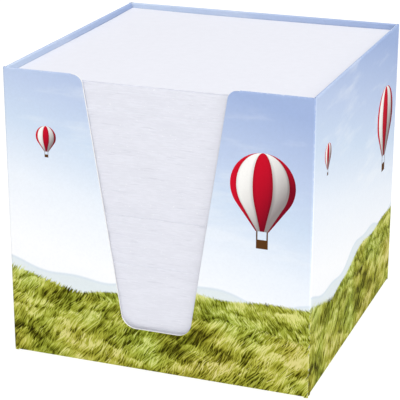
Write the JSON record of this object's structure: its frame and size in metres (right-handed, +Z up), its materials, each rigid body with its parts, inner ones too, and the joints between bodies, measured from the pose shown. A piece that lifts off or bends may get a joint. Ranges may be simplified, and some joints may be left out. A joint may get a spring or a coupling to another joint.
{
  "type": "memo box",
  "caption": "Open-topped folded carton box that holds a pile of loose square memo sheets, with a tapered thumb notch in the front wall for taking them out.",
  "frame": {"origin": "centre of the underside, on the surface that the box stands on", "axes": "+Z up, the wall with the thumb notch faces -Y, +X to the right seen from the front"},
  "size_m": [0.0932, 0.0932, 0.0883],
  "materials": {
    "printed_board": "satin varnished print",
    "liner_board": "satin varnished print",
    "plain_board": "uncoated",
    "glue": "dried film",
    "memo_paper": "uncoated"
  },
  "bodies": {
    "carton": {"front_wall": "printed_board", "right_wall": "printed_board", "back_wall": "printed_board", "left_wall": "printed_board", "seam_flap": "plain_board", "front_left_liner": "liner_board", "front_right_liner": "liner_board", "right_liner": "liner_board", "back_liner": "liner_board", "left_liner": "liner_board", "base_front_flap": "plain_board", "base_back_flap": "plain_board", "base_right_flap": "plain_board", "base_left_flap": "plain_board", "liner_glue": "glue", "seam_glue": "glue", "base_glue": "glue"},
    "sheet_stack": {"sheet_stack": "memo_paper"},
    "third_sheet": {"third_sheet": "memo_paper"},
    "second_sheet": {"second_sheet": "memo_paper"},
    "top_sheet": {"top_sheet": "memo_paper"}
  },
  "joints": [
    {"name": "sheet_stack_lift", "type": "slide", "parent": "carton", "child": "sheet_stack", "axis": [0, 0, 1], "range_m": [0, 0.092]},
    {"name": "third_sheet_lift", "type": "slide", "parent": "sheet_stack", "child": "third_sheet", "axis": [0, 0, 1], "range_m": [0, 0.025]},
    {"name": "second_sheet_lift", "type": "slide", "parent": "third_sheet", "child": "second_sheet", "axis": [0, 0, 1], "range_m": [0, 0.025]},
    {"name": "top_sheet_lift", "type": "slide", "parent": "second_sheet", "child": "top_sheet", "axis": [0, 0, 1], "range_m": [0, 0.025]}
  ]
}
